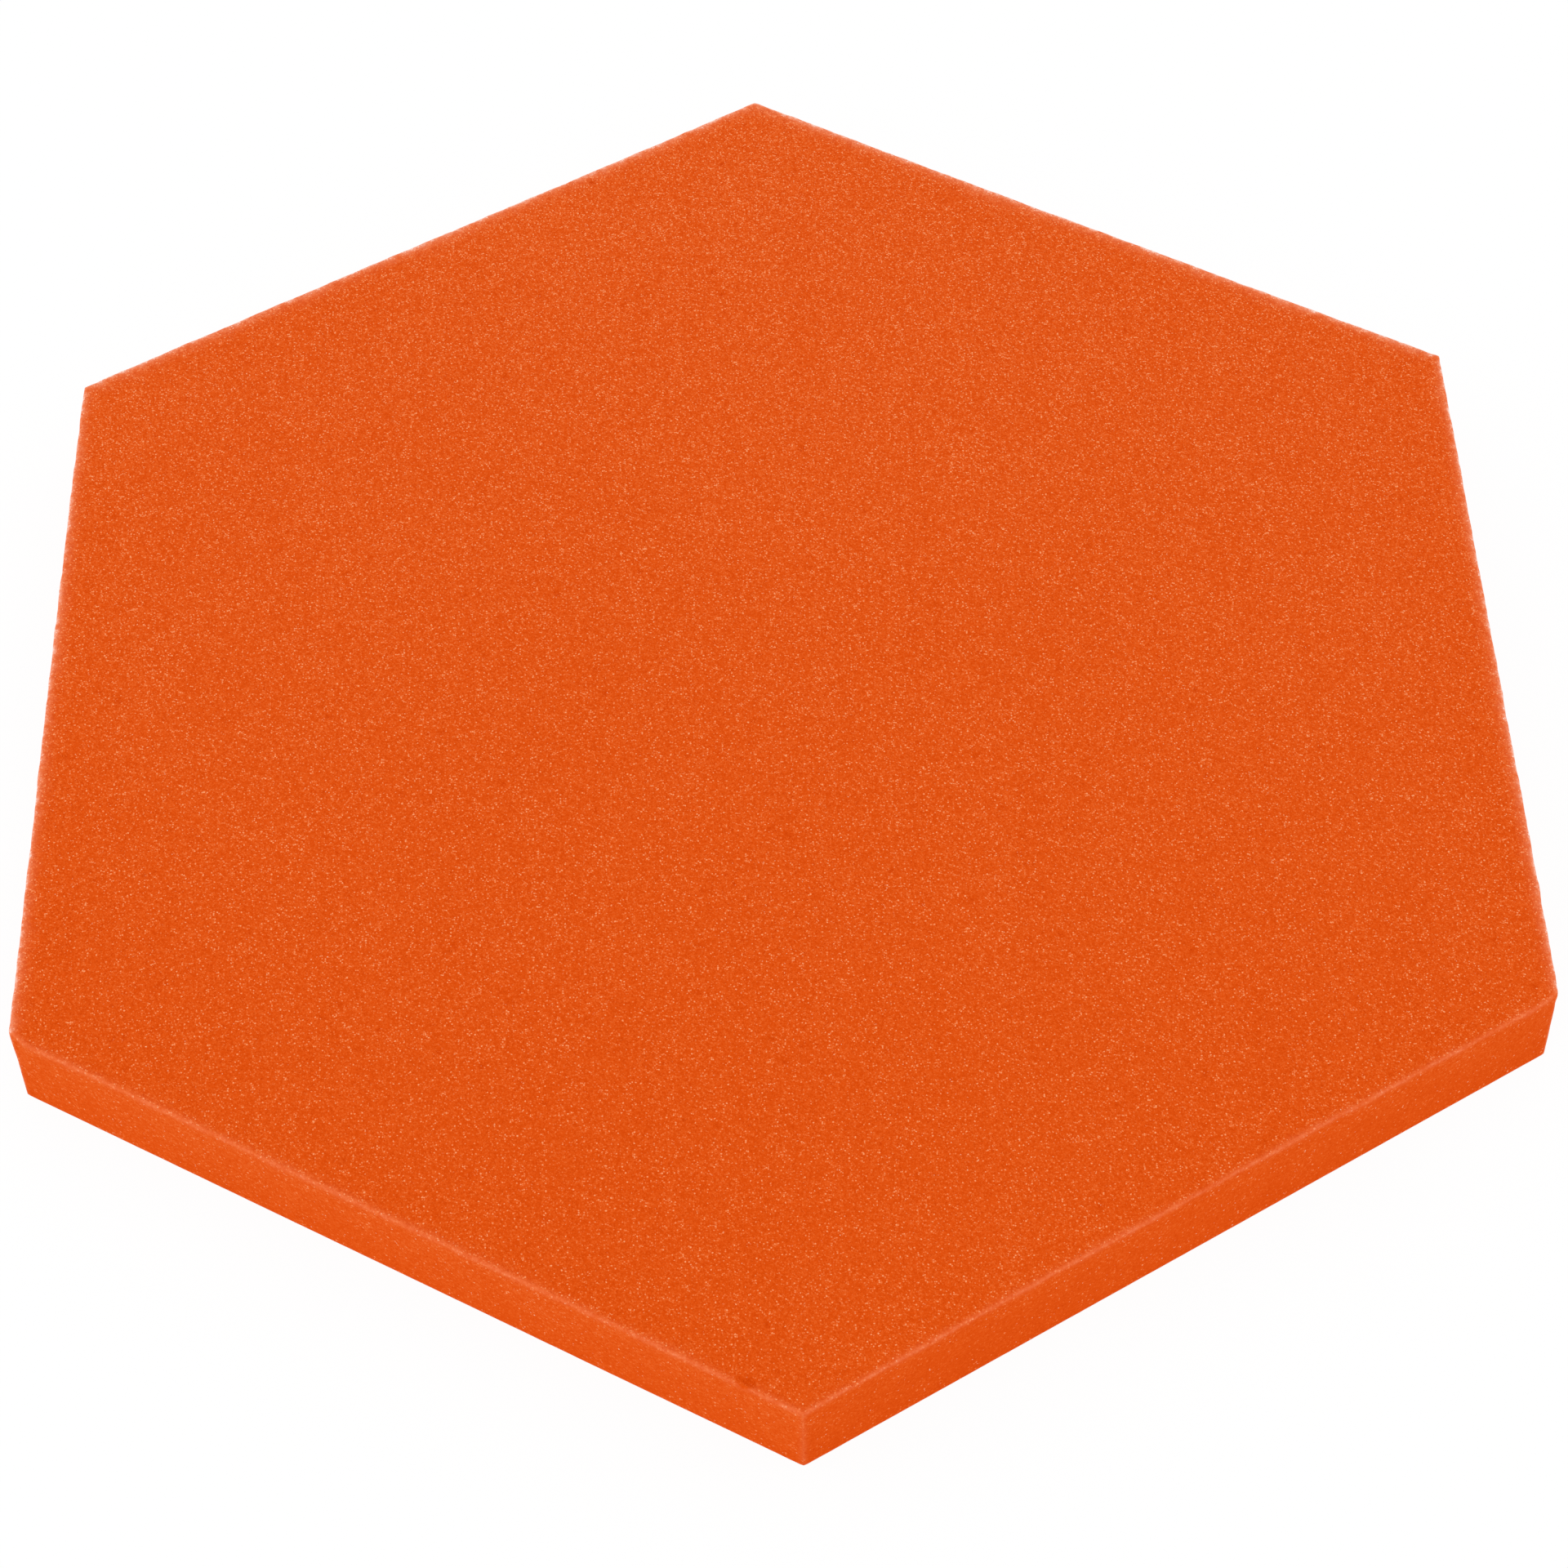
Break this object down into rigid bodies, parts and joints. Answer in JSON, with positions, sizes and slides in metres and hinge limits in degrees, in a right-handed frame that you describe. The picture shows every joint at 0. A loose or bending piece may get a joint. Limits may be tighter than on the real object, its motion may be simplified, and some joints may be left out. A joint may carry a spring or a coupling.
{
  "type": "hexagonal foam panel",
  "caption": "Flat regular hexagon cut from open-cell foam sheet with square-cut sides, laid against a wall or ceiling and tiled edge to edge to soften sound.",
  "frame": {"origin": "centre of the back face, the one that lies against the wall, ceiling or table", "axes": "+Z out of the back towards the front face, +Y towards a corner, +X square to a cut side"},
  "size_m": [0.3, 0.346, 0.02],
  "materials": {
    "foam": "matt open-cell polyurethane foam, cut with no skin"
  },
  "bodies": {
    "root": {"foam_panel": "foam"}
  },
  "joints": []
}
